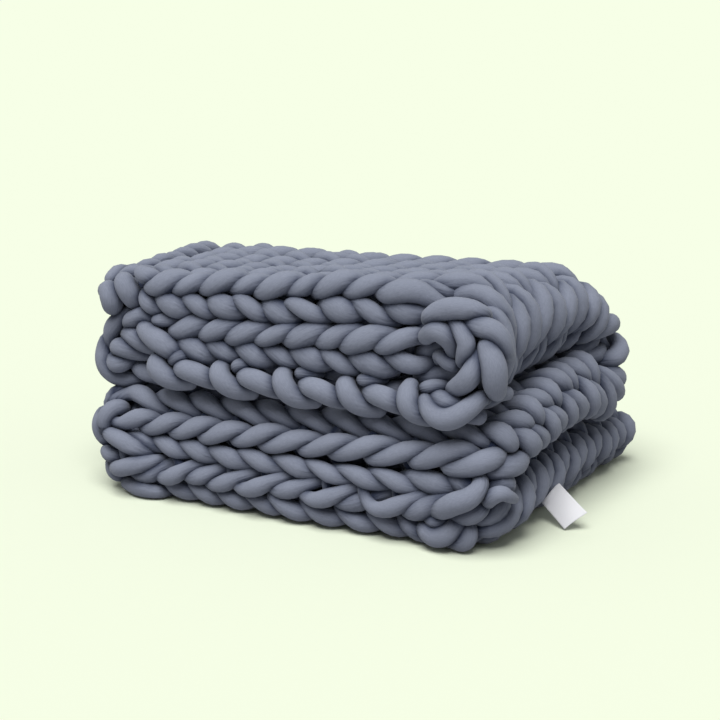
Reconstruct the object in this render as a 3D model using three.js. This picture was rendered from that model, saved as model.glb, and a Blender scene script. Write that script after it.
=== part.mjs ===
// Chunky knit throw blanket, folded. Millimetres, +Z up, front edge toward -Y, folded end toward +X.
//
// The cloth is folded twice. First it is doubled lengthwise, so that two sheets lie on each other and are
// joined by a round bend at the right end. Then this doubled cloth is folded back and forth over its width
// into three runs: bottom, middle and top, with one turn at the front and one at the back.
// So the solid is a hairpin profile (two sheets and their bend) carried along a back-and-forth path.
import * as THREE from "three";

// Driving dimensions
const LENGTH = 600; // along X, free ends to folded end
const DEPTH = 400; // along Y, front fold to back fold
const HEIGHT = 302; // stack of three runs, before the unevenness below
const RUN_GAP = 4; // between neighbouring runs
const SHEET_GAP = 3; // between the two sheets of a run
const CLOTH_COLOR = 0x6f7689;
const CLOTH_ROUGHNESS = 0.92;
const LABEL_COLOR = 0xeceaf2;
const LABEL_ROUGHNESS = 0.6;

// Heights of the joints between layers, as shares of HEIGHT, over the depth from front (0) to back (1).
// low: bottom run to middle run. high: middle run to top run. split: lower to upper sheet of the top run.
const JOINTS = [
  { depth: 0.0, low: 0.23, high: 0.46, split: 0.78 },
  { depth: 0.15, low: 0.28, high: 0.49, split: 0.79 },
  { depth: 0.4, low: 0.31, high: 0.58, split: 0.81 },
  { depth: 0.7, low: 0.31, high: 0.64, split: 0.82 },
  { depth: 0.85, low: 0.29, high: 0.6, split: 0.8 },
  { depth: 1.0, low: 0.26, high: 0.53, split: 0.77 },
];

// How far each corner of the stack lies from a true box corner.
const CORNERS = [
  { top: 0, back: 0, right: 0, dx: 12, dy: -36, dz: 0 },
  { top: 0, back: 0, right: 1, dx: -18, dy: -52, dz: 0 },
  { top: 0, back: 1, right: 0, dx: 25, dy: 2, dz: 0 },
  { top: 0, back: 1, right: 1, dx: 10, dy: 38, dz: 0 },
  { top: 1, back: 0, right: 0, dx: 10, dy: -10, dz: -18 },
  { top: 1, back: 0, right: 1, dx: -27, dy: -6, dz: 31 },
  { top: 1, back: 1, right: 0, dx: -27, dy: -12, dz: -12 },
  { top: 1, back: 1, right: 1, dx: 16, dy: 0, dz: -20 },
];

// How far each run's ends lie from a straight stack. lower and upper: how far the free ends of its lower
// and upper sheets stop short of the left end. bend: how far its bend stands out at the right end.
const RUN_ENDS = [
  { run: "bottom", lower: 22, upper: 12, bend: 8 },
  { run: "middle", lower: 10, upper: 6, bend: 26 },
  { run: "top", lower: 0, upper: 8, bend: 2 },
];

const RUN_STEPS = 12; // path steps along a run
const TURN_STEPS = 9; // path steps round a fold
const LEG_STEPS = 9; // profile steps along a sheet
const BEND_STEPS = 8; // profile steps round the right end
const FRONT_TURN_REACH = 0.38; // depth of the front turn over its half height
const BACK_TURN_REACH = 1;
const EDGE_ROUND = [0.45, 0.8]; // sheet thickness left at a free edge and one step in
const EDGE_STEP = 9; // distance between those two

// Label: a flat tab sewn on at one edge under the right end of the bottom run. It slopes down to the
// surface that the blanket lies on, and only one corner of its free edge comes near that surface.
const LABEL_CORNERS = {
  sewnLow: { x: 293.7, y: -74.5, z: 23.5 },
  sewnHigh: { x: 305.2, y: -51, z: 43.5 },
  freeLow: { x: 332.7, y: -97, z: 2 },
  freeHigh: { x: 356.7, y: -81, z: 21 },
};
const LABEL_THICKNESS = 1.2;
const LABEL_BOW = 2.5; // how far the middle of the tab stands up from a flat one
const LABEL_FREE_BOW = 3; // how far the middle of the free edge stands out
const LABEL_STEPS = 8;

function lerp(a, b, t) {
  return a + (b - a) * t;
}

// Joint heights at a depth share, by straight lines between the table's rows.
function jointsAt(depth) {
  const d = Math.min(Math.max(depth, 0), 1);
  let i = 0;
  while (i < JOINTS.length - 2 && d > JOINTS[i + 1].depth) i += 1;
  const [a, b] = [JOINTS[i], JOINTS[i + 1]];
  const t = (d - a.depth) / (b.depth - a.depth);
  return {
    low: lerp(a.low, b.low, t) * HEIGHT,
    high: lerp(a.high, b.high, t) * HEIGHT,
    split: lerp(a.split, b.split, t) * HEIGHT,
  };
}

// The parting line between the two sheets of a run at a depth share, and how thick the doubled cloth is
// on its two sides. near: the sheet that is outside at the front fold. far: the other one.
function runAt(run, depth) {
  const { low, high, split } = jointsAt(depth);
  const half = RUN_GAP / 2;
  if (run === 0) return { z: low / 2, near: low / 2, far: low / 2 - half };
  if (run === 1) {
    const z = (low + high) / 2;
    return { z, near: high - z - half, far: z - low - half };
  }
  return { z: split, near: split - high - half, far: HEIGHT - split };
}

// The back-and-forth path in the YZ plane: for each step the place of the parting line, the direction
// (ny, nz) that points to the near sheet, both thicknesses, and the run it belongs to (0 to 2).
function pathOfFolds() {
  const path = [];
  const front = -DEPTH / 2;
  const back = DEPTH / 2;
  const reach = (fold, low, high) => {
    const a = runAt(low, fold);
    const b = runAt(high, fold);
    return { a, b, mid: (a.z + b.z) / 2, radius: (b.z - a.z) / 2 };
  };
  const frontTurn = reach(0, 0, 1);
  const backTurn = reach(1, 1, 2);
  const frontY = front + (frontTurn.radius + frontTurn.a.near) * FRONT_TURN_REACH;
  const backY = back - (backTurn.radius + backTurn.b.far) * BACK_TURN_REACH;
  const addPoint = (run, y, side) => {
    const at = runAt(run, (y - front) / DEPTH);
    path.push({ y, z: at.z, ny: 0, nz: side, near: at.near, far: at.far, run });
  };
  const addRun = (run, y0, y1, side) => {
    for (let i = 0; i <= RUN_STEPS; i += 1) addPoint(run, lerp(y0, y1, i / RUN_STEPS), side);
  };
  // A fold turns the path by half a circle, flattened in Y, from one run up to the next.
  const addTurn = (turn, y, way, flat, run, nearSide) => {
    for (let i = 1; i < TURN_STEPS; i += 1) {
      const t = i / TURN_STEPS;
      const angle = Math.PI * t;
      path.push({
        y: y + way * turn.radius * flat * Math.sin(angle),
        z: turn.mid - turn.radius * Math.cos(angle),
        ny: -Math.sin(angle) * flat,
        nz: nearSide * Math.cos(angle),
        near: lerp(turn.a.near, turn.b.near, t),
        far: lerp(turn.a.far, turn.b.far, t),
        run: run + t,
      });
    }
  };
  addPoint(0, back, -1);
  addRun(0, back - EDGE_STEP, frontY, -1);
  addTurn(frontTurn, frontY, -1, FRONT_TURN_REACH, 0, -1);
  addRun(1, frontY, backY, 1);
  addTurn(backTurn, backY, 1, BACK_TURN_REACH, 1, 1);
  addRun(2, backY, front + EDGE_STEP, -1);
  addPoint(2, front, -1);
  return path;
}

// Thickness share of the cloth near the two selvages, so that they are round.
function selvageShare(step, steps) {
  const fromEnd = Math.min(step, steps - 1 - step);
  return fromEnd < EDGE_ROUND.length ? EDGE_ROUND[fromEnd] : 1;
}

// Moves a point of the true box to the uneven stack, by the corner table.
function uneven(p) {
  const u = p.x / LENGTH + 0.5;
  const v = p.y / DEPTH + 0.5;
  const w = p.z / HEIGHT;
  const out = p.clone();
  for (const c of CORNERS) {
    const share = (c.top ? w : 1 - w) * (c.back ? v : 1 - v) * (c.right ? u : 1 - u);
    out.x += share * c.dx;
    out.y += share * c.dy;
    out.z += share * c.dz;
  }
  return out;
}

// The hairpin profile at one step of the path, as points on its outer face and on its inner face.
// From the free end of the near sheet to the right, round the bend, and back along the far sheet.
function hairpin(at, share) {
  const near = (at.near + SHEET_GAP / 2) / 2;
  const far = (at.far + SHEET_GAP / 2) / 2;
  const nearHalf = ((at.near - SHEET_GAP / 2) / 2) * share;
  const farHalf = ((at.far - SHEET_GAP / 2) / 2) * share;
  const run = Math.min(Math.floor(at.run), RUN_ENDS.length - 1);
  const next = Math.min(run + 1, RUN_ENDS.length - 1);
  const endOf = (column) => lerp(RUN_ENDS[run][column], RUN_ENDS[next][column], at.run - run);
  // The near sheet is the lower one in the bottom and top runs and the upper one in the middle run.
  const turned = 1 - Math.abs(at.run - 1);
  const nearStart = -LENGTH / 2 + lerp(endOf("lower"), endOf("upper"), turned);
  const farStart = -LENGTH / 2 + lerp(endOf("upper"), endOf("lower"), turned);
  const bendX = LENGTH / 2 + endOf("bend") - (near + far) / 2 - (nearHalf + farHalf) / 2;
  const outer = [];
  const inner = [];
  // x and off place the sheet's middle. (dx, dn) is the direction through the sheet, outwards.
  const add = (x, off, half, dx, dn) => {
    const place = (h) => {
      const lift = off + dn * h;
      return uneven(new THREE.Vector3(x + dx * h, at.y + at.ny * lift, at.z + at.nz * lift));
    };
    outer.push(place(half));
    inner.push(place(-half));
  };
  const legShare = (i) => (i < EDGE_ROUND.length ? EDGE_ROUND[i] : 1);
  const legX = (start, i) => {
    if (i === 0) return start;
    return lerp(start + EDGE_STEP, bendX, (i - 1) / (LEG_STEPS - 1));
  };
  for (let i = 0; i < LEG_STEPS; i += 1) add(legX(nearStart, i), near, nearHalf * legShare(i), 0, 1);
  const middle = (near - far) / 2;
  const radius = (near + far) / 2;
  for (let i = 0; i <= BEND_STEPS; i += 1) {
    const t = i / BEND_STEPS;
    const angle = Math.PI * (0.5 - t);
    const [c, s] = [Math.cos(angle), Math.sin(angle)];
    add(bendX + radius * c, middle + radius * s, lerp(nearHalf, farHalf, t), c, s);
  }
  for (let i = LEG_STEPS - 1; i >= 0; i -= 1) add(legX(farStart, i), -far, farHalf * legShare(i), 0, -1);
  return outer.concat(inner.reverse());
}

function meshOf(name, positions, triangles, color, roughness) {
  const geometry = new THREE.BufferGeometry();
  const numbers = positions.flatMap((p) => [p.x, p.y, p.z]);
  geometry.setAttribute("position", new THREE.Float32BufferAttribute(numbers, 3));
  geometry.setIndex(triangles.flat());
  geometry.computeVertexNormals();
  const material = new THREE.MeshStandardMaterial({ color, roughness, metalness: 0 });
  const mesh = new THREE.Mesh(geometry, material);
  mesh.name = name;
  return mesh;
}

// Closed profiles joined in order, with a flat cap on the first and the last.
// Point i of a profile's outer half faces point (n - 1 - i) of its inner half, so a cap is a strip.
function skinOf(rings) {
  const n = rings[0].length;
  const triangles = [];
  const quad = (a, b, c, d) => triangles.push([a, b, c], [a, c, d]);
  for (let j = 0; j < rings.length - 1; j += 1) {
    for (let i = 0; i < n; i += 1) {
      const k = (i + 1) % n;
      quad(j * n + i, j * n + k, (j + 1) * n + k, (j + 1) * n + i);
    }
  }
  const last = (rings.length - 1) * n;
  for (let i = 0; i < n / 2 - 1; i += 1) {
    const [a, b] = [i, i + 1];
    const [c, d] = [n - 2 - i, n - 1 - i];
    quad(a, d, c, b);
    quad(last + a, last + b, last + c, last + d);
  }
  return triangles;
}

function knitBlanket() {
  const path = pathOfFolds();
  const rings = path.map((at, i) => hairpin(at, selvageShare(i, path.length)));
  return meshOf("knit_blanket", rings.flat(), skinOf(rings), CLOTH_COLOR, CLOTH_ROUGHNESS);
}

// The tab between its four corners, a little bowed, with its thickness along the tab's own normal.
function sewnLabel() {
  const corner = (name) => new THREE.Vector3(...Object.values(LABEL_CORNERS[name]));
  const [low, high] = [corner("sewnLow"), corner("sewnHigh")];
  const [freeLow, freeHigh] = [corner("freeLow"), corner("freeHigh")];
  const out = freeLow.clone().sub(low).normalize();
  const normal = out.clone().cross(high.clone().sub(low)).normalize();
  const rings = [];
  for (let i = 0; i <= LABEL_STEPS; i += 1) {
    const t = i / LABEL_STEPS;
    const [a, b] = [low.clone().lerp(freeLow, t), high.clone().lerp(freeHigh, t)];
    const place = (s, lift) => {
      const middle = 4 * s * (1 - s);
      const spot = a.clone().lerp(b, s);
      spot.addScaledVector(normal, lift + LABEL_BOW * Math.sin(Math.PI * t));
      return spot.addScaledVector(out, LABEL_FREE_BOW * middle * t);
    };
    const under = [0, 0.5, 1].map((s) => place(s, -LABEL_THICKNESS / 2));
    const over = [1, 0.5, 0].map((s) => place(s, LABEL_THICKNESS / 2));
    rings.push(under.concat(over));
  }
  return meshOf("sewn_label", rings.flat(), skinOf(rings), LABEL_COLOR, LABEL_ROUGHNESS);
}

const blanket = new THREE.Group();
blanket.add(knitBlanket());
blanket.add(sewnLabel());

// The origin is under the middle of the whole object's box.
const middle = new THREE.Box3().setFromObject(blanket).getCenter(new THREE.Vector3());
blanket.position.set(-middle.x, -middle.y, 0);

export default blanket;
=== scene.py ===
import math

import bpy
import numpy as np
from bpy.props import FloatProperty, FloatVectorProperty, PointerProperty
from mathutils import Matrix


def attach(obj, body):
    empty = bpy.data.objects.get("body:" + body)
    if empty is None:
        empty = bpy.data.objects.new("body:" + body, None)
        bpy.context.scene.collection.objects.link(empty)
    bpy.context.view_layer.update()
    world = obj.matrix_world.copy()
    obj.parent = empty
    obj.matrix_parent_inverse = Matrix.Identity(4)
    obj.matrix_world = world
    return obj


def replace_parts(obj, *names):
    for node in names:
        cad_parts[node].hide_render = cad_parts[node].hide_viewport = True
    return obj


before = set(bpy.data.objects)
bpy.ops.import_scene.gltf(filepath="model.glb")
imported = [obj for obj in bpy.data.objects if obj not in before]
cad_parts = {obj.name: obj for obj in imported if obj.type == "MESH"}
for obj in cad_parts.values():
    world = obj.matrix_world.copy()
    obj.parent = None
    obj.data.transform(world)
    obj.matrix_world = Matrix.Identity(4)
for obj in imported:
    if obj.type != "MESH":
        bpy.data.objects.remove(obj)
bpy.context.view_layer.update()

bl_info = {
    "name": "Folded chunky knit throw",
    "version": (1, 0, 0),
    "blender": (4, 5, 0),
    "location": "3D View > Sidebar > Throw",
    "description": "Knits a folded throw from thick tube yarn around the packed solids",
    "category": "Object",
}

MM = 0.001


def table(columns, rows):
    """Short table of numbers with named columns, a tuple for each row."""
    return np.array(rows, dtype=[(name, float) for name in columns.split()])


# ---------------- The folded cloth ----------------
# Millimetres, in the stack's own frame: x along the length with the folded end at the right, y
# from the front fold to the back fold, z up.
LENGTH = 600.0
DEPTH = 400.0
HEIGHT = 302.0
RUN_GAP = 4.0  # between one run and the next
SHEET_GAP = 3.0  # between the two sheets of a run

# Heights of the joints between layers as shares of HEIGHT, over the depth from front to back.
JOINT_TABLE = table("depth low high split", [
    (0.00, 0.23, 0.46, 0.78), (0.15, 0.28, 0.49, 0.79), (0.40, 0.31, 0.58, 0.81),
    (0.70, 0.31, 0.64, 0.82), (0.85, 0.29, 0.60, 0.80), (1.00, 0.26, 0.53, 0.77)])

# How far each corner of the stack lies from a true box corner.
CORNER_TABLE = table("top back right dx dy dz", [
    (0, 0, 0, 12, -36, 0), (0, 0, 1, -18, -52, 0), (0, 1, 0, 25, 2, 0), (0, 1, 1, 10, 38, 0),
    (1, 0, 0, 10, -10, -18), (1, 0, 1, -27, -6, 31), (1, 1, 0, -27, -12, -12), (1, 1, 1, 16, 0, -20)])

# What more the bottom corner at the front of the folded end is drawn in.
LOW_CORNER_SHIFT = np.array([-20.0, 10.0, 0.0])

# How far the free ends of each run's lower and upper sheet stop short of the left end, and how
# far its bend stands out at the right end. Rows: bottom, middle and top run.
RUN_TABLE = table("lower upper bend", [(62, 28, 8), (26, 18, 26), (4, 12, 2)])

# How far the turns stand out, as shares of half their height: the outer and the inner sheet's at
# the front, and both sheets' at the back.
FRONT_TURN_REACH = 0.38
INNER_TURN_REACH = 1.0
BACK_TURN_REACH = 1.0
FRONT_ROLL = 46.0  # depth of the rolled front edge of the top run
BACK_END = 14.0  # how far the bottom run stops short of the back
WALES_BELOW = 8  # columns of stitches from the back of the bottom run to the front fold
WALES_ABOVE = 12  # columns from the front fold to the front of the top run
WALES = WALES_BELOW + WALES_ABOVE
# Length along the knitting in courses, each about one row: the near sheet, its bend, the far one.
NEAR_COURSES = 10.8
BEND_COURSES = 2.0
FAR_COURSES = 11.2
COURSES = NEAR_COURSES + BEND_COURSES + FAR_COURSES
ROWS = 23  # rows of stitches, between the twisted edges
ROW_MARGIN = 1.25  # from each end of the cloth to the nearest row
TWIST_MARGIN = 0.25  # from each end to the middle of its twisted edge
PATH_STEP = 4.0  # between points of the fold's path
WALE_WIDTH = 62.0  # usual width of a column
# From the stack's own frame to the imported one, whose origin is under the middle of the whole box.
STACK_ORIGIN = np.array([-24.46, 3.07, 0.0])

# Places on the near sheet's columns near the front fold, in millimetres along it from the fold:
# the column below is tight, the one above is spread, and the next one stands off from it.
NEAR_TIES = table("wale along", [(7.0, -52), (8.0, 0), (8.25, 15), (8.75, 54), (9.25, 90)])
# Shares of the usual thickness of the yarn, and of the length over which its legs stay thick,
# where the near sheet is stretched round the front fold.
THIN_TABLE = table("wale share taper", [
    (5.9, 1.0, 1.0), (6.7, 1.08, 1.0), (7.25, 0.91, 0.72), (7.75, 0.87, 0.66), (8.25, 0.87, 0.66),
    (8.75, 0.90, 0.72), (9.6, 1.0, 1.0)])
FOLD_SHIFT = -17.0  # from the middle of the front turn to the boundary of the two columns
FRONT_RETREAT = 55.0  # how far the inner sheet's fold lies behind the outer one's at the front

# Column boundaries of the far sheet that lie at a known place: run 0, 1 or 2, and y.
FAR_TIES = table("wale run y", [
    (0, 0, 186), (7, 0, -105), (10, 1, -72), (13, 1, 95), (17, 2, 40), (20, 2, -154)])


def lerp(a, b, t):
    """Straight blend from a to b."""
    return a + (b - a) * t


def unit(v):
    """Vectors in the last axis, made one long."""
    return v / np.maximum(np.linalg.norm(v, axis=-1, keepdims=True), 1e-9)


def length_along(line):
    """Length of a line up to each of its points."""
    return np.concatenate([[0], np.cumsum(np.linalg.norm(np.diff(line, axis=0), axis=1))])


def smoothed(values, width):
    """Values averaged over a bell-shaped window of an odd width, with both ends carried on."""
    window = np.hanning(width + 2)[1:-1]
    padded = np.pad(values, width // 2, mode="reflect", reflect_type="odd")
    return np.convolve(padded, window / window.sum(), "valid")


def run_at(run, depth):
    """Height of the parting line of a run and the thickness of the cloth on its near and far
    side, at depth shares. The near sheet is the outer one at the front fold."""
    low, high, split = (
        np.interp(depth, JOINT_TABLE["depth"], JOINT_TABLE[c]) * HEIGHT
        for c in ("low", "high", "split")
    )
    half = RUN_GAP / 2
    if run == 0:
        return low / 2, low / 2, low / 2 - half
    if run == 1:
        z = (low + high) / 2
        return z, high - z - half, z - low - half
    return split, split - high - half, HEIGHT - split


def fold_path(retreat, front_reach):
    """The back-and-forth path of the cloth in the YZ plane, as columns y, z, ny, nz, near, far
    and run. Straight runs are joined by half ellipses, then evened out over a few steps. The
    inner sheet folds a retreat behind the outer one at the front."""
    front, back = -DEPTH / 2, DEPTH / 2
    rows = []

    def straight(run, y0, y1, side, count=90):
        """Straight stretch of a run from y0 to y1, with its near sheet above, 1, or below, -1."""
        y = np.linspace(y0, y1, count)
        z, near, far = run_at(run, (y - front) / DEPTH)
        rows.append(np.stack(np.broadcast_arrays(y, z, 0, side, near, far, run), 1))

    def turn(at, low, y, way, reach, near_side, count=60):
        """Turn from run low to the next at y: a half ellipse towards way, reach times as deep."""
        z0, near0, far0 = run_at(low, at)
        z1, near1, far1 = run_at(low + 1, at)
        t = np.arange(1, count) / count
        angle = np.pi * t
        radius = (z1 - z0) / 2
        rows.append(np.stack([
            y + way * radius * reach * np.sin(angle), (z0 + z1) / 2 - radius * np.cos(angle),
            -np.sin(angle) * reach, near_side * np.cos(angle),
            lerp(near0, near1, t), lerp(far0, far1, t), low + t], 1))

    def turn_start(at, low, side, reach):
        """How far before the end of the stack a turn starts: its depth and its outer sheet's."""
        z0, near0, _ = run_at(low, at)
        z1, _, far1 = run_at(low + 1, at)
        return ((z1 - z0) / 2 + (near0 if side < 0 else far1)) * reach

    front_y = front + turn_start(0, 0, -1, FRONT_TURN_REACH) + retreat
    back_y = back - turn_start(1, 1, 1, BACK_TURN_REACH)
    straight(0, back - BACK_END, front_y, -1)
    turn(0, 0, front_y, -1, front_reach, -1)
    straight(1, front_y, back_y, 1)
    turn(1, 1, back_y, 1, BACK_TURN_REACH, 1)
    straight(2, back_y, front + FRONT_ROLL, -1)
    path = np.concatenate(rows)
    length = length_along(path[:, :2])
    even = np.arange(0, length[-1], PATH_STEP)
    return np.stack([smoothed(np.interp(even, length, column), width=7) for column in path.T], 1)


NEAR_PATH = fold_path(0.0, FRONT_TURN_REACH)
FAR_PATH = fold_path(FRONT_RETREAT, INNER_TURN_REACH)


def sheet_line(path, side):
    """Middle line of one sheet, side +1 near and -1 far, and its length so far."""
    y, z, ny, nz, near, far, _ = path.T
    off = (near + SHEET_GAP / 2) / 2 if side > 0 else -(far + SHEET_GAP / 2) / 2
    line = np.stack([y + ny * off, z + nz * off], 1)
    return line, length_along(line)


def near_wales(path):
    """Place on the path of each quarter column of the near sheet: tied near the front fold, and
    evenly along the sheet's own middle line from there to its ends."""
    _, length = sheet_line(path, 1)
    fold = np.interp(0.5, path[:, 6], length) + FOLD_SHIFT
    wales = np.concatenate([[0], NEAR_TIES["wale"], [WALES]])
    ties = np.concatenate([[0], fold + NEAR_TIES["along"], [length[-1]]])
    return np.interp(np.interp(QUARTERS, wales, ties), length, np.arange(len(path)))


def far_wales(path):
    """Place on the path of each quarter column of the far sheet: some boundaries are tied to a run
    and a distance along y, and the others are spaced evenly between them."""
    line, length = sheet_line(path, -1)
    index = np.arange(len(path))
    ties = []
    for tie in FAR_TIES:
        on_run = index[np.abs(path[:, 6] - tie["run"]) < 0.02]
        way = np.argsort(line[on_run, 0])
        ties.append(np.interp(tie["y"], line[on_run, 0][way], length[on_run][way]))
    return np.interp(np.interp(QUARTERS, FAR_TIES["wale"], ties), length, index)


QUARTERS = np.arange(4 * WALES + 1) / 4
NEAR_MARKS = near_wales(NEAR_PATH)
FAR_MARKS = far_wales(FAR_PATH)


def uneven(x, y, z):
    """Moves points of the true box to the uneven stack, blending the shifts of its corners, and
    draws in the lowest corner at the front of the folded end by a bell-shaped shift."""
    u, v, w = x / LENGTH + 0.5, y / DEPTH + 0.5, z / HEIGHT
    moved = np.stack([x, y, z], -1)
    for c in CORNER_TABLE:
        share = (w if c["top"] else 1 - w) * (v if c["back"] else 1 - v) * (u if c["right"] else 1 - u)
        moved = moved + share[..., None] * np.array([c["dx"], c["dy"], c["dz"]])
    bell = np.exp(-((u - 1) / 0.25) ** 2 - (v / 0.11) ** 2 - (w / 0.25) ** 2)
    return moved + bell[..., None] * LOW_CORNER_SHIFT


def place_object(name, data):
    """New object in the scene, at the origin."""
    obj = bpy.data.objects.new(name, data)
    bpy.context.scene.collection.objects.link(obj)
    return obj


def to_frame(points):
    """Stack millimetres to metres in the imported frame."""
    return (points + STACK_ORIGIN) * MM


def on_sheet(wale, course, depth):
    """Point of the doubled cloth. wale runs from the back of the bottom run to the front of the
    top run, course from the near sheet's free end round the folded end to the far sheet's, and
    depth goes in from the sheet's outer face, in millimetres."""
    wale, course, depth = np.broadcast_arrays(wale, course, depth)
    turned = np.clip((course - NEAR_COURSES) / BEND_COURSES, 0, 1)
    mix = turned * turned * (3 - 2 * turned)
    near_i = np.interp(wale, QUARTERS, NEAR_MARKS)
    far_i = np.interp(wale, QUARTERS, FAR_MARKS)
    y, z, ny, nz, near, far, run = (
        lerp(np.interp(near_i, np.arange(len(NEAR_PATH)), a),
             np.interp(far_i, np.arange(len(FAR_PATH)), b), mix)
        for a, b in zip(NEAR_PATH.T, FAR_PATH.T))
    y = y - WALE_WIDTH * (np.minimum(wale, 0) + np.maximum(wale - WALES, 0))
    whole = np.array([0, 1, 2])
    lower, upper, bend = (np.interp(run, whole, RUN_TABLE[c]) for c in ("lower", "upper", "bend"))
    on_top = 1 - np.abs(run - 1)
    near_start = -LENGTH / 2 + lerp(lower, upper, on_top)
    far_start = -LENGTH / 2 + lerp(upper, lower, on_top)
    near_mid, far_mid = (near + SHEET_GAP / 2) / 2, (far + SHEET_GAP / 2) / 2
    near_half, far_half = (near - SHEET_GAP / 2) / 2, (far - SHEET_GAP / 2) / 2
    bend_x = LENGTH / 2 + bend - (near_mid + far_mid) / 2 - (near_half + far_half) / 2
    spaced = lambda q: 0.88 * q + 0.12 * q * q  # rows lie a little closer at the free ends
    angle = np.pi * (0.5 - turned)
    middle = (near_mid - far_mid) / 2
    reach = (near_mid + far_mid) / 2 + lerp(near_half, far_half, turned)
    x = np.where(turned <= 0, lerp(near_start, bend_x, spaced(course / NEAR_COURSES)),
                 lerp(far_start, bend_x, spaced((COURSES - course) / FAR_COURSES)))
    x = np.where((turned > 0) & (turned < 1), bend_x, x)
    out_x = np.cos(angle) * (turned > 0) * (turned < 1)
    off = middle + reach * np.sin(angle) - depth * np.sin(angle) / np.maximum(np.hypot(ny, nz), 0.3)
    return uneven(x + out_x * (reach - depth), y + ny * off, z + nz * off)


# ---------------- Yarn ----------------
SAMPLES = 20  # points along the yarn for each stitch while it is laid and settled
FINER = 2  # rings of the finished yarn for each of those points
SIDES = 16  # points round the yarn
CAP_RINGS = np.array([0.35, 0.7, 0.9, 0.985])  # rings of a round cap, as shares of its length
CAP_LENGTH = 0.9  # as a share of the yarn's radius
USUAL_RADIUS = 15.0  # radius for which the coordinate round the yarn is in true lengths
LOOP_GRIP = 4.0  # how much more firmly single loops are held to their place than rows
FLOOR_GAP = 0.8  # between the yarn and the surface below while it settles
FINER_GAP = 0.6  # what is added to that at the end, for the rings between the points
TURN_POINTS = 6  # points of the turn from one row to the next
TURN_REACH = 0.22  # how far it stands out past the ends of the rows, in columns
TURN_RISE = 4.0  # how far it comes up to the face
TURN_SWELL = 0.35  # how much thicker it is in the middle


def wander(rng, rows, columns, at):
    """One row of smooth random values for each row of yarn, read at places along it: seeded
    values at whole places, joined by half cosines."""
    values = rng.normal(0, 1, (rows, columns + 3))
    at = np.clip(at, 0, columns + 1.999)
    whole = np.floor(at).astype(int)
    t = (1 - np.cos(np.pi * (at - whole))) / 2
    row = np.arange(rows)[:, None]
    return lerp(values[row, whole], values[row, whole + 1], t)


def finer(values):
    """Smooth curve through evenly spaced rows of values: Catmull-Rom curves of FINER steps."""
    ends = np.concatenate([2 * values[:1] - values[1:2], values, 2 * values[-1:] - values[-2:-1]])
    a, b, c, d = ends[:-3], ends[1:-2], ends[2:-1], ends[3:]
    t = (np.arange(FINER) / FINER)[None, :, None]
    a, b, c, d = (v[:, None] for v in (a, b, c, d))
    curve = 0.5 * (2 * b + (c - a) * t + (2 * a - 5 * b + 4 * c - d) * t ** 2
                   + (3 * b - a - 3 * c + d) * t ** 3)
    return np.concatenate([curve.reshape(-1, values.shape[1]), values[-1:]])


def rings(line, tangent, out, wide, thick):
    """Ellipse of SIDES points round each point of a line, wide across and thick outwards: the
    point plus across wide cos a plus up thick sin a."""
    across = unit(np.cross(tangent, out))
    up = np.cross(across, tangent)
    angle = (np.arange(SIDES) * 2 * np.pi / SIDES)[:, None]
    return line[:, None] + (across[:, None] * (np.cos(angle) * wide[:, None, None])
                            + up[:, None] * (np.sin(angle) * thick[:, None, None]))


def with_caps(values):
    """Rows of values along a length of yarn, with the end ones repeated for the rings of its caps."""
    count = len(CAP_RINGS)
    return np.concatenate([np.repeat(values[:1], count, 0), values, np.repeat(values[-1:], count, 0)])


def tube(line, out, wide, thick):
    """Skin of one length of yarn: an ellipse carried along the line, with a round cap on each end.
    Returns vertices, quads and a (length, turn) coordinate in metres for each corner of each
    quad."""
    first, last = unit(line[1] - line[0]), unit(line[-1] - line[-2])
    line = np.concatenate([line[:1] - first * (CAP_RINGS[::-1, None] * wide[0] * CAP_LENGTH), line,
                           line[-1:] + last * (CAP_RINGS[:, None] * wide[-1] * CAP_LENGTH)])
    shrink = np.sqrt(1 - CAP_RINGS ** 2)
    shrink = np.concatenate([shrink[::-1], np.ones(len(wide)), shrink])
    wide, thick = with_caps(wide) * shrink, with_caps(thick) * shrink
    tangent = unit(np.gradient(line, axis=0))
    vertices = rings(line, tangent, with_caps(out), wide, thick).reshape(-1, 3)
    rows, sides = np.meshgrid(np.arange(len(line) - 1), np.arange(SIDES), indexing="ij")
    length = length_along(line)
    around = 2 * np.pi * USUAL_RADIUS / SIDES
    steps = ((0, 0), (1, 0), (1, 1), (0, 1))
    quads = np.stack([(rows + i) * SIDES + (sides + k) % SIDES for i, k in steps], -1).reshape(-1, 4)
    corner = np.stack([np.stack([length[rows + i], (sides + k) * around], -1) for i, k in steps], 2)
    return vertices, quads, corner.reshape(-1, 2) * MM


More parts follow.
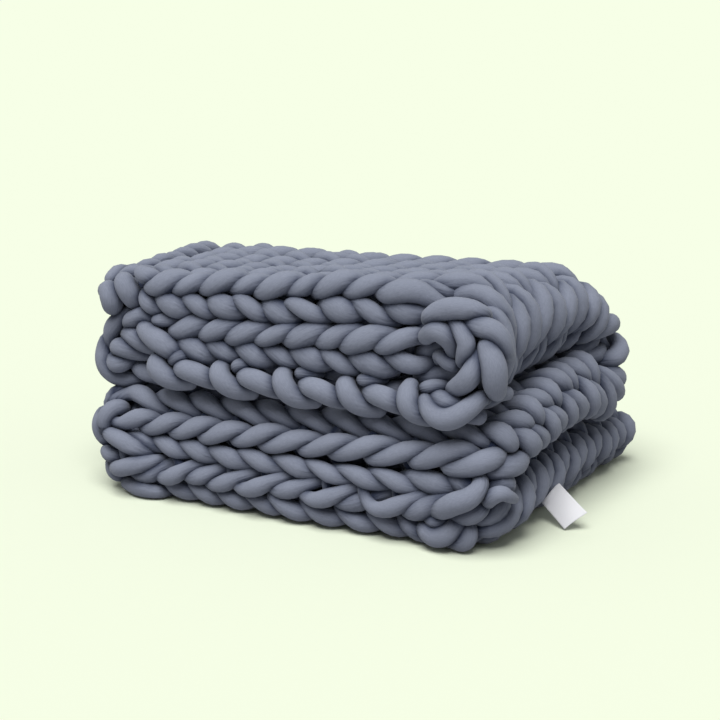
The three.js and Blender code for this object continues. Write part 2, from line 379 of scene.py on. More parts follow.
def make_piece(name, yarns, material):
    """One mesh from many lengths of yarn, each (line, out, wide, thick, grip, crease). The crease
    is kept on the vertices for the finish, which paints shade into the colour by it and confines the
    gathers to it."""
    skins = [tube(*(np.squeeze(finer(v.reshape(len(v), -1))) for v in y[:4])) for y in yarns]
    creases = np.concatenate([with_caps(finer(y[5])).ravel() for y in yarns])
    ends = np.cumsum([len(v) for v, q, c in skins])
    starts = np.concatenate([[0], ends[:-1]])
    vertices = to_frame(np.concatenate([v for v, q, c in skins]))
    quads = np.concatenate([q + s for (v, q, c), s in zip(skins, starts)])
    corner = np.concatenate([c for v, q, c in skins])
    side = np.arange(SIDES)
    cap = np.stack([starts[:, None] + side, ends[:, None] - 1 - side], 1).reshape(-1, SIDES)
    mesh = bpy.data.meshes.new(name)
    mesh.vertices.add(len(vertices))
    mesh.vertices.foreach_set("co", vertices.astype(np.float32).ravel())
    loops = np.concatenate([quads.ravel(), cap.ravel()])
    mesh.loops.add(len(loops))
    mesh.loops.foreach_set("vertex_index", loops.astype(np.int32))
    loop_starts = np.concatenate([np.arange(len(quads)) * 4,
                                  quads.size + np.arange(len(cap)) * SIDES])
    mesh.polygons.add(len(loop_starts))
    mesh.polygons.foreach_set("loop_start", loop_starts.astype(np.int32))
    mesh.polygons.foreach_set("use_smooth", np.ones(len(loop_starts), bool))
    mesh.update(calc_edges=True)
    mesh.validate()
    layer = mesh.uv_layers.new(name="yarn")
    uv = np.concatenate([corner, np.zeros((cap.size, 2))])
    layer.data.foreach_set("uv", uv.astype(np.float32).ravel())
    # Crease depth on the vertices: the finish turns it into painted shade and into gathers.
    shade = mesh.attributes.new("crease", "FLOAT", "POINT")
    shade.data.foreach_set("value", np.clip(creases, 0, 1).astype(np.float32))
    mesh.materials.append(material)
    obj = place_object(name, mesh)
    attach(obj, "root")
    return obj


def find_creases(yarns, reach=16.0):
    """Adds to each length of yarn how deep each point of its skin lies in a crease, 0 to 1: one
    less the distance to the skin of the nearest other loop over reach, rings of SIDES values. The yarn
    finish darkens the colour by it as painted shade."""
    counts = [len(y[0]) for y in yarns]
    points, outs, wide, thick = (np.concatenate([y[k] for y in yarns]) for k in range(4))
    tangent = np.concatenate([unit(np.gradient(y[0], axis=0)) for y in yarns])
    skin = rings(points, tangent, outs, wide, thick)
    a, b = near_loops(points, counts, reach=44.0, skip=5)
    a, b = np.concatenate([a, b]), np.concatenate([b, a])
    order = np.argsort(a, kind="stable")
    a, b = a[order], b[order]
    gap = np.linalg.norm(skin[a] - points[b][:, None], axis=-1) - ((wide + thick) / 2)[b][:, None]
    starts = np.flatnonzero(np.concatenate([[True], a[1:] != a[:-1]]))
    least = np.full(skin.shape[:2], reach)
    least[a[starts]] = np.minimum.reduceat(gap, starts, axis=0)
    crease = np.clip(1 - np.maximum(least, 0) / reach, 0, 1)
    ends = np.cumsum([0] + counts)
    return [[*y[:5], crease[s:e]] for y, s, e in zip(yarns, ends[:-1], ends[1:])]


def laid_on(place, across, along, depth):
    """Line of yarn on a surface, and its direction out of it at each point."""
    out = unit(place(across, along, depth - 1) - place(across, along, depth + 1))
    return place(across, along, depth), out


def stitch_rows(courses, wales, place, sizes, seed, plumpness=1.0, alternate=0.0, taper=0.6,
                thin=None, last_head=0.0):
    """Rows of plain knitting. Row j is the line, over t from -pi to 2 pi wales - pi:
    across = (t + spread sin 2t) / 2 pi + 1/2, along = j + reach cos t, so that each column gets
    two legs that lean together like a V, with legs near the face and heads and feet deeper in,
    from cos 2t. Rows are joined end to end at the selvages by short turns, so the yarn is one
    length. A leg is plump where cos t is near 0, by exp(-|cos t / taper|^3). alternate makes
    every other row thicker, thin is a table like THIN_TABLE, and last_head draws the heads of
    the last row in. Returns the line, its outward direction, the two radii of its section and
    its grip."""
    rng = np.random.default_rng(seed)
    rows = len(courses)
    t = np.linspace(-np.pi, 2 * np.pi * wales - np.pi, wales * SAMPLES + 1)[None]
    leg = (t + np.pi) / np.pi  # two for each column
    j = np.asarray(courses, float)[:, None]
    stray = lambda size: size * wander(rng, rows, 2 * wales, leg + 0.5)
    across = 0.5 + (t + sizes.spread * np.sin(2 * t)) / (2 * np.pi) + stray(0.025)
    along = j + sizes.reach * np.cos(t) + stray(0.05)
    out_share = (1 - np.cos(2 * t)) / 2
    radius = sizes.yarn_radius / MM * plumpness * (1 + alternate * (-1.0) ** np.arange(rows))[:, None]
    if thin is not None:
        radius = radius * np.interp(leg / 2, thin["wale"], thin["share"])
        taper = taper * np.interp(leg / 2, thin["wale"], thin["taper"])
    depth = radius + sizes.depth / MM * (1 - out_share) + sizes.lean / MM * np.cos(t) + stray(1.0)
    depth[-1] = depth[-1] + last_head * ((1 + np.cos(t[0])) / 2) ** 4
    plump = np.exp(-np.abs((np.cos(t) + 0.04) / taper) ** 3) * out_share
    wide = radius * lerp(sizes.pinch, 1, plump) * (1 + stray(0.05))
    thick = radius * lerp(sizes.pinch, 0.96, np.maximum(plump, 0.45 * out_share))
    ease = np.linspace(0, 1, TURN_POINTS + 2)[None, 1:-1]
    bow = np.sin(np.pi * ease)
    fields = (across, along, depth, wide, thick)

    def turns(end, way):
        """Turns at one end of the rows: straight blends that bow out, up and thicker by a sine."""
        across, along, depth, wide, thick = (
            lerp(f[:-1, end][:, None], f[1:, end][:, None], ease) for f in fields)
        swell = 1 + TURN_SWELL * bow
        return (across + way * TURN_REACH * bow, along, depth - TURN_RISE * bow, wide * swell,
                thick * swell)

    right_turns, left_turns = turns(-1, 1), turns(0, -1)
    parts = [[] for _ in fields]
    for k in range(rows):
        way = 1 if k % 2 == 0 else -1
        for part, field, right, left in zip(parts, fields, right_turns, left_turns):
            part.append(field[k][::way])
            if k < rows - 1:
                part.append((right if way > 0 else left)[k])
    across, along, depth, wide, thick = (np.concatenate(part) for part in parts)
    return [*laid_on(place, across, along, depth), wide, thick, np.ones(len(wide))]


def edge_twist(wales, course, place, seed, size=11.5, swing=0.17, middle=25.0, rise=11.0):
    """Two yarns of radius size twisted round each other along a cast-on or bound-off edge, one
    turn for each column, half a turn apart: along = course + swing cos turn, and
    depth = middle + rise sin turn."""
    rng = np.random.default_rng(seed)
    across = np.linspace(0.05, wales - 0.05, int(wales * 7) + 1)
    yarns = []
    for start in (0, np.pi):
        turn = 2 * np.pi * across + start + 0.25 * wander(rng, 1, wales, across[None])[0]
        line, out = laid_on(place, across, course + swing * np.cos(turn), middle + rise * np.sin(turn))
        wide = size * (1 + 0.05 * wander(rng, 1, wales, across[None])[0])
        yarns.append([line, out, wide, wide, np.full(len(wide), 1.5)])
    return yarns


def swelling(u):
    """Thickness along a single loop, over u from 0 to 1, as a share of that at its middle."""
    return 0.78 + 0.22 * np.sin(np.pi * u) ** 0.7


def loose_loops(table, facing):
    """Single loops of yarn that show at a corner, each a parabola from its first point through
    its middle one to its last, plump in the middle. Both ends go on for three points that turn
    away from the facing direction, so that they are tucked into the cloth."""
    yarns = []
    facing = unit(np.array(facing, float))
    for row in table:
        first, middle, last = (np.array([row[f"{axis}{k}"] for axis in "xyz"]) for k in range(3))
        s = np.linspace(0, 1, 11)[:, None]
        line = (first * (1 - s) * (1 - 2 * s) + middle * 4 * s * (1 - s) + last * s * (2 * s - 1))
        wide = row["size"] * swelling(s[:, 0])
        step = np.array([[1.0], [2.0], [3.0]])
        tail = lambda end, inner: (end + 3 * step ** 0.7 * unit(end - inner)
                                   - 5 * step ** 1.1 * facing)
        line = np.concatenate([tail(line[0], line[1])[::-1], line, tail(line[-1], line[-2])])
        thinner = wide[0] * np.array([0.95, 0.88, 0.8])
        wide = np.concatenate([thinner[::-1], wide, thinner])
        out = np.tile(facing, (len(line), 1))
        grip = np.concatenate([[0.5, 1, 2], np.full(len(s), LOOP_GRIP), [2, 1, 0.5]])
        yarns.append([line, out, wide, wide, grip])
    return yarns


def near_pairs(points, reach):
    """Index pairs of points closer than about reach, each once: points are sorted into cubes of
    that size, and each cube is matched with itself and 13 of its 26 neighbours."""
    cell = np.floor((points - points.min(0)) / reach).astype(np.int64) + 1
    span = cell.max(0) + 2
    key = (cell[:, 0] * span[1] + cell[:, 1]) * span[2] + cell[:, 2]
    order = np.argsort(key, kind="stable")
    ranked = key[order]
    found = []
    steps = [(0, 0, 0)] + [(i, j, k) for i in (-1, 0, 1) for j in (-1, 0, 1) for k in (-1, 0, 1)
                           if (i, j, k) > (0, 0, 0)]
    for i, j, k in steps:
        other = ranked + (i * span[1] + j) * span[2] + k
        first, last = np.searchsorted(ranked, other), np.searchsorted(ranked, other, "right")
        count = last - first
        a = np.repeat(np.arange(len(points)), count)
        b = np.arange(count.sum()) - np.repeat(np.cumsum(count) - count, count) + np.repeat(first, count)
        if (i, j, k) == (0, 0, 0):
            a, b = a[a < b], b[a < b]
        found.append(np.stack([order[a], order[b]]))
    a, b = np.concatenate(found, 1)
    close = ((points[a] - points[b]) ** 2).sum(1) < reach * reach
    return a[close], b[close]


def near_loops(points, counts, reach, skip):
    """Pairs of near points that belong to different loops: to two lengths of yarn, each of counts
    points, or to one but more than skip points apart."""
    strand = np.repeat(np.arange(len(counts)), counts)
    a, b = near_pairs(points, reach)
    apart = (strand[a] != strand[b]) | (np.abs(a - b) > skip)
    return a[apart], b[apart]


def settle(yarns, steps=60, softness=0.93, hold=0.04, keep_shape=0.35):
    """Presses the yarn into place: points of different loops closer than their radii allow move
    apart by half the overlap, each point is drawn back a little to where it was laid and keeps
    its bend against its neighbours, and nothing goes through the surface below. At the end the
    moves are evened out along the yarn, each with half of both neighbours' mean, three times."""
    counts = [len(y[0]) for y in yarns]
    points = np.concatenate([y[0] for y in yarns])
    laid = points.copy()
    radius = np.concatenate([(y[2] + y[3]) / 2 for y in yarns]) * softness
    floor = np.concatenate([np.maximum(y[2], y[3]) for y in yarns]) + FLOOR_GAP
    grip = np.concatenate([y[4] for y in yarns])
    starts = np.cumsum([0] + counts)
    mid = np.concatenate([np.arange(s + 1, e - 1) for s, e in zip(starts[:-1], starts[1:])])
    bend = laid[mid] - (laid[mid - 1] + laid[mid + 1]) / 2
    total = lambda at, values=None: np.bincount(at, values, len(laid))
    for step in range(steps):
        if step % 6 == 0:
            a, b = near_loops(points, counts, reach=36.0, skip=4)
        gap = points[a] - points[b]
        size = np.sqrt((gap ** 2).sum(1))
        over = np.maximum(radius[a] + radius[b] - size, 0)
        touch = over > 0
        push = gap[touch] / np.maximum(size[touch], 1e-6)[:, None] * over[touch][:, None]
        ta, tb = a[touch], b[touch]
        moved = np.stack([total(ta, along) - total(tb, along) for along in push.T], 1)
        hits = total(ta) + total(tb)
        points = points + 0.5 * moved / np.maximum(hits, 1)[:, None] * np.minimum(hits, 2)[:, None]
        wanted = (points[mid - 1] + points[mid + 1]) / 2 + bend
        points[mid] += keep_shape * (wanted - points[mid])
        points += (hold * grip)[:, None] * (laid - points)
        points[:, 2] = np.maximum(points[:, 2], floor)
    moved = points - laid
    for _ in range(3):
        moved[mid] = (moved[mid - 1] + 2 * moved[mid] + moved[mid + 1]) / 4
    points = laid + moved
    points[:, 2] = np.maximum(points[:, 2], floor + FINER_GAP)
    return [[points[s:e], *y[1:]] for y, s, e in zip(yarns, starts[:-1], starts[1:])]


# The rolled front edge of the top run: its skin over two columns from bottom to top, as distance
# behind the front and height, for the middle of the yarn.
ROLL_TABLE = table("wale behind z", [
    (-0.4, 34, 176), (0.0, 22, 188), (0.25, 11, 203), (0.75, 14, 232), (1.0, 21, 244),
    (1.25, 15, 258), (1.75, 19, 286), (2.0, 32, 292), (2.4, 52, 286)])
ROLL_START = -166.0  # x of the first row of the roll
ROLL_PITCH = 43.0  # from one row to the next
ROLL_DEPTH = 15.5  # from the outer face of the roll to the middle of the yarn


def on_roll(across, along, depth):
    """Point of the rolled front edge: its profile over the columns, carried along the length,
    with the depth square to the profile."""
    across, along, depth = np.broadcast_arrays(across, along, depth)
    dense = np.linspace(ROLL_TABLE["wale"][0], ROLL_TABLE["wale"][-1], 200)
    behind, z = (smoothed(np.interp(dense, ROLL_TABLE["wale"], ROLL_TABLE[c]), width=23)
                 for c in ("behind", "z"))
    db, dz = np.gradient(behind), np.gradient(z)
    norm = np.hypot(db, dz)
    nb, nz = -dz / norm, db / norm
    get = lambda c: np.interp(across, dense, c)
    lift = ROLL_DEPTH - depth
    y = -DEPTH / 2 + get(behind) + get(nb) * lift
    return uneven(ROLL_START + ROLL_PITCH * along, y, get(z) + get(nz) * lift)


def selvage_loops(seed, count=5, size=14.0):
    """The selvage along the bottom of the roll, two rows of knitting for each step: a hook that
    comes down and bends to the right, a plain loop after it, and a small one behind. Over u
    from 0 to 1 the hook is x = 40 u^1.9 - 6 sin(pi u), z = 192 - 33 u^0.85, and the plain loop
    x = 27 + 62 u, z = 181 - 15 u + 5 sin(pi u)."""
    rng = np.random.default_rng(seed)
    u = np.linspace(0, 1, 11)
    yarns = []
    for k in range(count):
        start = -178 + 94 * k - 1.5 * k * k  # the steps get a little shorter
        back = 15 * (2 * u - 1) ** 2
        shapes = [
            (40 * u ** 1.9 - 6 * np.sin(np.pi * u), 192 - 33 * u ** 0.85, back, 1.0),
            (27 + 62 * u, 181 - 15 * u + 5 * np.sin(np.pi * u), back - 2, 0.97),
            (14 + 30 * u, 188 + 8 * u, back + 9, 0.6)]
        for x, z, behind, share in shapes:
            shift = rng.normal(0, 1.2, 3)
            line = np.stack([start + x, -222 + behind, z], 1) + shift
            wide = size * share * swelling(u)
            out = np.tile(unit(np.array([0.0, -1.0, 0.1])), (len(u), 1))
            yarns.append([line, out, wide, wide, np.full(len(u), LOOP_GRIP)])
    return yarns


LOOP_COLUMNS = "x0 y0 z0 x1 y1 z1 x2 y2 z2 size"

# Loops at the right end of the rolled edge, where its columns turn round from top to bottom,
# and at the right end of the front fold: three points each and the radius.
RIGHT_LOOPS = table(LOOP_COLUMNS, [
    (203, -214, 279, 232, -214, 289, 259, -206, 280, 13.5),
    (240, -206, 276, 272, -212, 271, 288, -206, 246, 13),
    (274, -212, 250, 284, -222, 226, 285, -214, 202, 15.5),
    (266, -216, 190, 236, -230, 171, 204, -220, 180, 13.5),
    (196, -212, 256, 220, -218, 266, 228, -208, 243, 13),
    (230, -206, 276, 252, -220, 257, 246, -214, 229, 11),
    (264, -212, 242, 257, -226, 217, 231, -214, 194, 13.5),
    (208, -204, 235, 222, -208, 229, 232, -204, 222, 9),
    (176, -182, 262, 216, -180, 276, 262, -180, 268, 14),
    (176, -184, 226, 214, -184, 240, 262, -182, 236, 14),
    (180, -186, 200, 222, -186, 206, 266, -184, 208, 14),
    (263, -192, 262, 269, -192, 236, 265, -192, 208, 12.5),
    (264, -166, 272, 270, -164, 238, 266, -166, 202, 15),
    (262, -142, 262, 268, -140, 234, 264, -142, 206, 14),
    (214, -180, 190, 242, -182, 184, 270, -178, 192, 13.5),
    (217, -222, 45, 250, -236, 65, 271, -226, 80, 14),
    (206, -220, 40, 221, -230, 37, 236, -226, 38, 9),
    (201, -222, 22, 228, -231, 22, 250, -222, 40, 13),
    (232, -216, 14, 251, -222, 20, 252, -218, 36, 12),
    (276, -220, 65, 291, -226, 79, 301, -216, 78, 10),
])

# Loops at the left end of the rolled edge and of the front fold.
LEFT_LOOPS = table(LOOP_COLUMNS, [
    (-276, -178, 257, -270, -186, 252, -271, -180, 245, 15),
    (-256, -176, 274, -240, -187, 265, -232, -180, 246, 15),
    (-268, -152, 265, -262, -156, 274, -250, -150, 279, 12),
    (-222, -184, 290, -208, -190, 283, -192, -186, 272, 12),
    (-214, -182, 268, -200, -192, 256, -184, -188, 244, 12),
    (-228, -172, 235, -268, -180, 219, -282, -174, 186, 12.5),
    (-282, -172, 190, -276, -180, 156, -240, -172, 146, 12.5),
    (-250, -180, 218, -222, -190, 231, -194, -184, 228, 12.5),
    (-250, -182, 207, -226, -192, 203, -204, -186, 192, 13.5),
    (-272, -178, 183, -248, -190, 192, -216, -182, 184, 13),
    (-212, -196, 222, -176, -212, 205, -146, -206, 188, 15),
    (-196, -196, 234, -178, -200, 236, -156, -196, 230, 9),
    (-244, -172, 168, -226, -178, 160, -206, -176, 152, 12),
    (-267, -152, 272, -269, -150, 246, -269, -152, 216, 16),
    (-269, -152, 216, -267, -148, 186, -262, -150, 152, 16),
    (-255, -220, 77, -226, -230, 74, -200, -222, 62, 12),
    (-246, -218, 34, -214, -230, 44, -186, -222, 47, 12),
    (-269, -212, 53, -253, -220, 49, -238, -216, 44, 10),
    (-274, -200, 103, -284, -206, 82, -273, -206, 62, 10),
    (-231, -214, 17, -205, -224, 13, -183, -220, 12, 11),
    (-268, -204, 34, -254, -212, 27, -236, -212, 22, 10),
])


def lay_yarn(sizes):
    """All the yarn of the throw by piece, laid by formula and then settled together."""
    rows = np.linspace(ROW_MARGIN, COURSES - ROW_MARGIN, ROWS)
    # Where one piece ends and the next begins, in courses.
    borders = (0, 5, NEAR_COURSES - 1, NEAR_COURSES + BEND_COURSES + 1, COURSES - 5, COURSES)
    names = ("knit_near_left", "knit_near_right", "knit_folded_end", "knit_far_right", "knit_far_left")
    pieces = {}
    for k, (name, first, last) in enumerate(zip(names, borders[:-1], borders[1:])):
        own = rows[(rows >= first) & (rows < last)]
        pieces[name] = [stitch_rows(own, WALES, on_sheet, sizes, 11 + k,
                                    thin=THIN_TABLE if "near" in name else None)]
    pieces["knit_front_roll"] = [
        stitch_rows(np.arange(first, 8.5), 1, lambda a, *at, low=low: on_roll(a + low, *at),
                    sizes, 31 + low, 0.97, alternate=0.1, taper=0.72, last_head=22)
        for low, first in ((0, 1), (1, 0))]
    pieces["knit_roll_selvage"] = selvage_loops(33)
    pieces["knit_end_loops"] = (loose_loops(RIGHT_LOOPS, (0.3, -1, 0.2))
                                + loose_loops(LEFT_LOOPS, (-0.3, -1, 0.2)))
    pieces["knit_left_edges"] = (edge_twist(WALES, TWIST_MARGIN, on_sheet, 41)
                                 + edge_twist(WALES, COURSES - TWIST_MARGIN, on_sheet, 42))
    yarns = [y for group in pieces.values() for y in group]
    settled = iter(find_creases(settle(yarns)))
    return {name: [next(settled) for _ in group] for name, group in pieces.items()}


# ---------------- Label ----------------
LABEL_CORNERS = {  # the sewn edge lies between the bottom and middle run, at the right end
    "sewn low": (293.7, -74.5, 23.5), "sewn high": (306.5, -50.0, 45.0),
    "free low": (332.7, -97.0, 2.0), "free high": (356.7, -81.0, 21.0)}


def make_label(sizes, material, columns=28, rows=44):
    """The blank tape label: a flat patch blended between its four corners, over u across and v
    out from the seam. It bows by bow sin(pi u) square to itself and lifts by curl v^3 u^4 at its
    upper free corner. Two such faces, a thickness apart, are closed by a rim."""
    u, v = np.meshgrid(np.linspace(0, 1, columns + 1), np.linspace(0, 1, rows + 1))
    corner = {name: np.array(at) for name, at in LABEL_CORNERS.items()}
    low = lerp(corner["sewn low"], corner["free low"], v[..., None])
    high = lerp(corner["sewn high"], corner["free high"], v[..., None])
    face = lerp(low, high, u[..., None])
    long, short = (corner[name] - corner["sewn low"] for name in ("free low", "sewn high"))
    normal = unit(np.cross(long, short))
    height = sizes.bow / MM * np.sin(np.pi * u) * (0.4 + 0.6 * v) + sizes.curl / MM * v ** 3 * u ** 4
    face = face + normal * height[..., None]
    half = normal * sizes.thickness / MM / 2
    inset = np.minimum(np.minimum(u, 1 - u) * columns, np.minimum(v, 1 - v) * rows)
    half = half * np.where(inset < 0.5, 0.35, 1.0)[..., None]
    count = u.size
    vertices = to_frame(np.concatenate([(face + half).reshape(-1, 3), (face - half).reshape(-1, 3)]))
    grid = np.arange(count).reshape(rows + 1, columns + 1)
    quads = np.stack([grid[:-1, :-1], grid[:-1, 1:], grid[1:, 1:], grid[1:, :-1]], -1).reshape(-1, 4)
    rim = np.concatenate([grid[0, :-1], grid[:-1, -1], grid[-1, :0:-1], grid[:0:-1, 0]])
    after = np.roll(rim, -1)
    sides = np.stack([after, rim, rim + count, after + count], -1)
    faces = np.concatenate([quads[:, ::-1], quads + count, sides[:, ::-1]])
    mesh = bpy.data.meshes.new("label_tape_sheet")
    mesh.from_pydata(vertices.tolist(), [], faces.tolist())
    mesh.polygons.foreach_set("use_smooth", np.ones(len(faces), bool))
    layer = mesh.uv_layers.new(name="weave")
    flat = np.stack([u.ravel() * np.linalg.norm(short), v.ravel() * np.linalg.norm(long)], -1) * MM
    flat = np.tile(flat, (2, 1))
    layer.data.foreach_set("uv", flat[faces.ravel()].astype(np.float32).ravel())
    mesh.materials.append(material)
    label = place_object("label_tape_sheet", mesh)
    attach(label, "root")
    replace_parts(label, "sewn_label")
    return label


# ---------------- Finishes ----------------
def new_node(tree, kind, inputs, **settings):
    """New node with its settings, each input linked to a socket or set to a value. Colours are
    three numbers and opaque. Returns the outputs of the node."""
    node = tree.nodes.new(kind)
    for name, value in settings.items():
        setattr(node, name, value)
    for name, value in inputs.items():
        socket = node.inputs[name]
        if isinstance(value, bpy.types.NodeSocket):
            tree.links.new(value, socket)
        else:
            socket.default_value = (*value, 1) if socket.type == "RGBA" else value
    return node.outputs


def combine(tree, how, first, second):
    """Math on a socket and another socket or a number."""
    return new_node(tree, "ShaderNodeMath", {0: first, 1: second}, operation=how)[0]


def mix_color(tree, factor, first, second, how="MIX"):
    """Mix of two colours, each three numbers or a socket, by a factor socket."""
    inputs = {"Factor": factor, "A": first, "B": second}
    return new_node(tree, "ShaderNodeMix", inputs, data_type="RGBA", blend_type=how)["Result"]


def noise(tree, vector, scale, detail=2.0, stretch=(1, 1, 1)):
    """Noise over a coordinate, drawn out along its axes by stretch."""
    drawn = new_node(tree, "ShaderNodeMapping", {"Vector": vector, "Scale": stretch})["Vector"]
    inputs = {"Vector": drawn, "Scale": scale, "Detail": detail}
    return new_node(tree, "ShaderNodeTexNoise", inputs)["Fac"]


def bump(tree, height, distance, strength, normal=None):
    """Bump of the given height in metres over an earlier one."""
    inputs = {"Height": height, "Distance": distance, "Strength": strength}
    if normal:
        inputs["Normal"] = normal
    return new_node(tree, "ShaderNodeBump", inputs)["Normal"]


def plain_sight(tree):
    """1 for rays that show the background plainly: from the camera, and mirrored or let through."""
    seen = new_node(tree, "ShaderNodeLightPath", {})
    either = combine(tree, "MAXIMUM", seen["Is Camera Ray"], seen["Is Glossy Ray"])
    return combine(tree, "MAXIMUM", either, seen["Is Transmission Ray"])


def two_faced(owner, shader, output, unseen, seen):
    """Gives a material or a world one kind of shader in two colours: seen where a ray shows it
    plainly, and unseen for the light that it gives to the throw."""
    owner.use_nodes = True
    tree = owner.node_tree
    tree.nodes.clear()
    dull, plain = (new_node(tree, shader, {"Color": color})[0] for color in (unseen, seen))
    mixed = new_node(tree, "ShaderNodeMixShader", {0: plain_sight(tree), 1: dull, 2: plain})[0]
    new_node(tree, output, {"Surface": mixed})


def start_finish(name, coordinate, numbers):
    """New material with numbers set on its shader. Returns it with its node tree, the inputs of
    its shader, its own coordinate and the object's."""
    material = bpy.data.materials.new(name)
    material.use_nodes = True
    tree = material.node_tree
    inputs = tree.nodes["Principled BSDF"].inputs
    for key, value in numbers.items():
        inputs[key].default_value = value
    uv = new_node(tree, "ShaderNodeUVMap", {}, uv_map=coordinate)["UV"]
    return material, tree, inputs, uv, new_node(tree, "ShaderNodeTexCoord", {})["Object"]


def yarn_finish(color):
    """Matte jersey tube: fine ribs along the yarn, gathers where it is squeezed, soft mottling of the
    colour, painted shade in the creases and a low fabric sheen. Ribs and gathers come from the yarn's
    own (length, turn) coordinate, and the painted crease shade from the crease attribute, which also
    confines the gathers."""
    material, tree, inputs, uv, place = start_finish("jersey yarn", "yarn", {
        "Roughness": 0.88, "Specular IOR Level": 0.18, "Sheen Weight": 0.10, "Sheen Roughness": 0.5})
    crease = new_node(tree, "ShaderNodeAttribute", {}, attribute_name="crease")["Fac"]

    dark, light = [c * 0.90 for c in color], [min(c * 1.10, 1) for c in color]
    shown = mix_color(tree, noise(tree, place, 16.0, 3.0), dark, light)
    grain = noise(tree, uv, 1.0, stretch=(260, 900, 1))
    shown = mix_color(tree, grain, shown, (0.80, 0.80, 0.82), "SOFT_LIGHT")
    # Painted shade: the colour is multiplied towards a dark blue where the yarn lies deep in a crease
    # near other loops.
    painted_crease_shade = combine(tree, "POWER", crease, 2.4)
    shown = mix_color(tree, painted_crease_shade, shown, (0.09, 0.115, 0.19), "MULTIPLY")
    tree.links.new(shown, inputs["Base Color"])

    ribs = noise(tree, uv, 1.0, stretch=(160, 760, 1))
    gathers = noise(tree, uv, 1.0, stretch=(34, 190, 1))
    squeezed = combine(tree, "MULTIPLY", gathers, crease)
    normal = bump(tree, noise(tree, place, 46.0), 0.0022, 0.5)
    normal = bump(tree, squeezed, 0.003, 0.8, normal)
    normal = bump(tree, ribs, 0.0006, 0.5, normal)
    tree.links.new(normal, inputs["Normal"])
    return material


def tape_finish(color):
    """Woven white tape: crossed waves of the weave, with a soft satin sheen."""
    material, tree, inputs, uv, place = start_finish("label tape", "weave", {
        "Roughness": 0.6, "Specular IOR Level": 0.35})
    dull = [c * 0.97 for c in color]
    tree.links.new(mix_color(tree, noise(tree, place, 60.0), dull, color), inputs["Base Color"])
    normal = None
    for direction in ("X", "Y"):
        wave = new_node(tree, "ShaderNodeTexWave", {"Vector": uv, "Scale": 500.0, "Distortion": 0.4},
                        bands_direction=direction)["Fac"]
        normal = bump(tree, wave, 0.0001, 0.4, normal)
    normal = bump(tree, noise(tree, place, 90.0, 1.0), 0.0006, 0.4, normal)
    tree.links.new(normal, inputs["Normal"])
    return material


# ---------------- Stage ----------------
FLOOR_SIZE = 30.0  # metres, from the middle to each side
FLOOR_GREY = (0.4, 0.4, 0.4)  # what the floor throws back at the throw
LAMP_TURN = (math.radians(24), 0, math.radians(10))
LAMP_WIDTH = math.radians(45)
AIM = (0.4, 153.3)  # what the camera aims at: millimetres to its right and up from the stack's foot


def lay_floor(settings):
    """Flat floor in the background's colour, which lights the throw as plain grey."""
    mesh = bpy.data.meshes.new("floor")
    corners = [(x * FLOOR_SIZE, y * FLOOR_SIZE, 0) for x, y in ((-1, -1), (1, -1), (1, 1), (-1, 1))]
    mesh.from_pydata(corners, [], [(0, 1, 2, 3)])
    material = bpy.data.materials.new("pale floor")
    two_faced(material, "ShaderNodeBsdfDiffuse", "ShaderNodeOutputMaterial", FLOOR_GREY,
              settings.background)
    mesh.materials.append(material)
    place_object("floor", mesh)


def hang_lamp(settings):
    """Broad soft light from above and a little in front."""
    light = bpy.data.lights.new("soft top light", "SUN")
    light.energy = settings.sun
    light.angle = LAMP_WIDTH
    place_object("soft top light", light).rotation_euler = LAMP_TURN


def set_camera(settings):
    """Camera on a ray from the aim, by its azimuth, elevation and distance."""
    az, el = settings.azimuth, settings.elevation
    right = np.array([math.cos(az), math.sin(az), 0])
    back = np.array([math.sin(az) * math.cos(el), -math.cos(az) * math.cos(el), math.sin(el)])
    up = np.cross(back, right)
    turn = np.eye(4)
    turn[:3, :3] = np.stack([right, up, back], 1)
    turn[:3, 3] = (right * AIM[0] + up * AIM[1] + STACK_ORIGIN) * MM + back * settings.distance
    data = bpy.data.cameras.new("camera")
    data.lens = settings.lens
    data.sensor_width = 36
    data.clip_end = 200
    camera = place_object("camera", data)
    camera.matrix_world = Matrix(turn.tolist())
    return camera


# ---------------- Settings ----------------
class ThrowYarnSettings(bpy.types.PropertyGroup):
    """Sizes and colour of the yarn and its stitches."""
    yarn_radius: FloatProperty(
        name="Yarn radius", description="Half the thickness of the plump part of a stitch leg",
        default=0.0142, unit="LENGTH")
    pinch: FloatProperty(
        name="Pinch", description="Thickness of the yarn where stitches cross, as a share of the leg's",
        default=0.6, subtype="FACTOR", min=0.3, max=1)
    spread: FloatProperty(
        name="Spread", description="How far the yarn swings to the sides in each stitch",
        default=1.3)
    reach: FloatProperty(
        name="Reach", description="Half the length of a stitch, in rows of knitting",
        default=1.12)
    depth: FloatProperty(
        name="Depth", description="How far heads and feet of stitches lie behind their legs",
        default=0.018, unit="LENGTH")
    lean: FloatProperty(
        name="Lean", description="How far the foot of a leg stands over the head of the one before",
        default=0.006, unit="LENGTH")
    color: FloatVectorProperty(
        name="Yarn colour", description="Colour of the jersey", subtype="COLOR", size=3,
        default=(0.218, 0.240, 0.306), min=0, max=1)


class ThrowLabelSettings(bpy.types.PropertyGroup):
    """Shape and colour of the label."""
    thickness: FloatProperty(
        name="Thickness", description="Thickness of the folded tape", default=0.0012, unit="LENGTH")
    bow: FloatProperty(
        name="Bow", description="How far the middle of the label stands out from flat",
        default=0.0028, unit="LENGTH")
    curl: FloatProperty(
        name="Curl", description="How far the upper free corner lifts", default=0.003, unit="LENGTH")
    color: FloatVectorProperty(
        name="Tape colour", description="Colour of the tape", subtype="COLOR", size=3,
        default=(0.97, 0.97, 1.0), min=0, max=1)


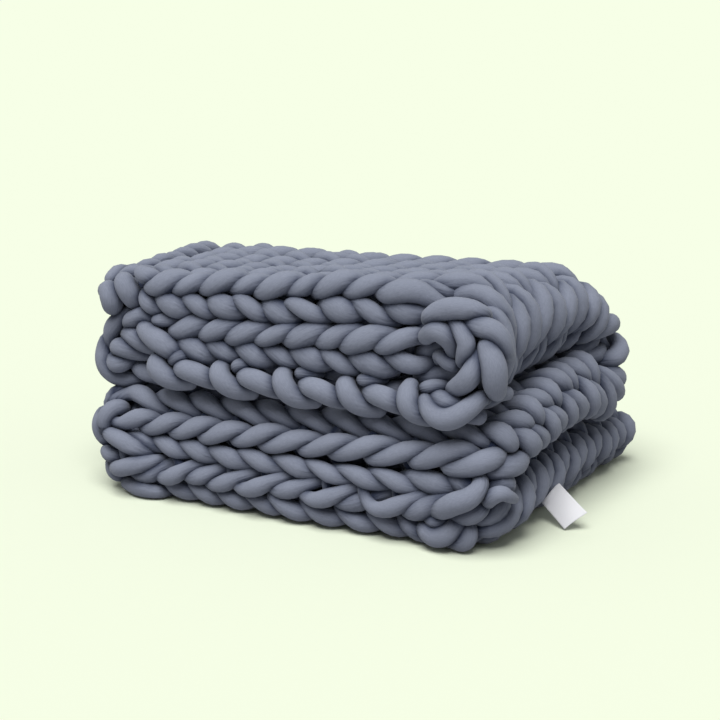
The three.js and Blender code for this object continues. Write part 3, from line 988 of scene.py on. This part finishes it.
class ThrowStageSettings(bpy.types.PropertyGroup):
    """Camera, lamps and background."""
    background: FloatVectorProperty(
        name="Background", description="Colour of the floor and of what is behind it",
        subtype="COLOR", size=3, default=(0.930, 1.0, 0.799), min=0, max=1)
    azimuth: FloatProperty(
        name="Azimuth", description="Direction of the camera round the throw, from the front",
        default=math.radians(27), subtype="ANGLE")
    elevation: FloatProperty(
        name="Elevation", description="Height of the camera as an angle",
        default=math.radians(14), subtype="ANGLE")
    distance: FloatProperty(
        name="Distance", description="Distance of the camera", default=2.204, unit="LENGTH")
    lens: FloatProperty(
        name="Lens", description="Focal length in millimetres for a 36 mm sensor", default=80.0)
    dome: FloatProperty(
        name="Dome light", description="Strength of the even light from all round", default=0.22)
    sun: FloatProperty(
        name="Main light", description="Strength of the soft light from above", default=2.68)


# ---------------- Operators ----------------
class THROW_OT_knit_cloth(bpy.types.Operator):
    """Knit the doubled and folded cloth and its rolled front edge"""
    bl_idname = "throw.knit_cloth"
    bl_label = "Knit cloth"

    def execute(self, context):
        sizes = context.scene.throw_yarn
        material = yarn_finish(sizes.color)
        for name, yarns in lay_yarn(sizes).items():
            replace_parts(make_piece(name, yarns, material), "knit_blanket")
        return {"FINISHED"}


class THROW_OT_sew_label(bpy.types.Operator):
    """Sew the blank label on under the right end"""
    bl_idname = "throw.sew_label"
    bl_label = "Sew label"

    def execute(self, context):
        sizes = context.scene.throw_label
        make_label(sizes, tape_finish(sizes.color))
        return {"FINISHED"}


class THROW_OT_set_stage(bpy.types.Operator):
    """Set up the floor, the light and the camera"""
    bl_idname = "throw.set_stage"
    bl_label = "Set stage"

    def execute(self, context):
        scene = context.scene
        settings = scene.throw_stage
        scene.view_settings.view_transform = "Standard"
        lay_floor(settings)
        scene.world = bpy.data.worlds.new("studio")
        two_faced(scene.world, "ShaderNodeBackground", "ShaderNodeOutputWorld",
                  (settings.dome,) * 3, settings.background)
        hang_lamp(settings)
        scene.camera = set_camera(settings)
        return {"FINISHED"}


class THROW_PT_panel(bpy.types.Panel):
    """Sidebar panel with every step and its settings"""
    bl_idname = "THROW_PT_panel"
    bl_label = "Folded throw"
    bl_space_type = "VIEW_3D"
    bl_region_type = "UI"
    bl_category = "Throw"

    def draw(self, context):
        layout = self.layout
        for name, group in SETTINGS.items():
            box = layout.box()
            for setting in group.__annotations__:
                box.prop(getattr(context.scene, name), setting)
        for step in STEPS:
            layout.operator(step.bl_idname)


STEPS = (THROW_OT_set_stage, THROW_OT_knit_cloth, THROW_OT_sew_label)
SETTINGS = {"throw_yarn": ThrowYarnSettings, "throw_label": ThrowLabelSettings,
            "throw_stage": ThrowStageSettings}
CLASSES = (*SETTINGS.values(), *STEPS, THROW_PT_panel)


def register():
    """Registers the classes and the settings of the scene."""
    for item in CLASSES:
        bpy.utils.register_class(item)
    for name, group in SETTINGS.items():
        setattr(bpy.types.Scene, name, PointerProperty(type=group))


def unregister():
    """Takes the settings and the classes away again."""
    for name in SETTINGS:
        delattr(bpy.types.Scene, name)
    for item in reversed(CLASSES):
        bpy.utils.unregister_class(item)


def main():
    """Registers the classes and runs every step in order."""
    register()
    bpy.ops.throw.set_stage()
    bpy.ops.throw.knit_cloth()
    bpy.ops.throw.sew_label()


if __name__ == "__main__":
    main()
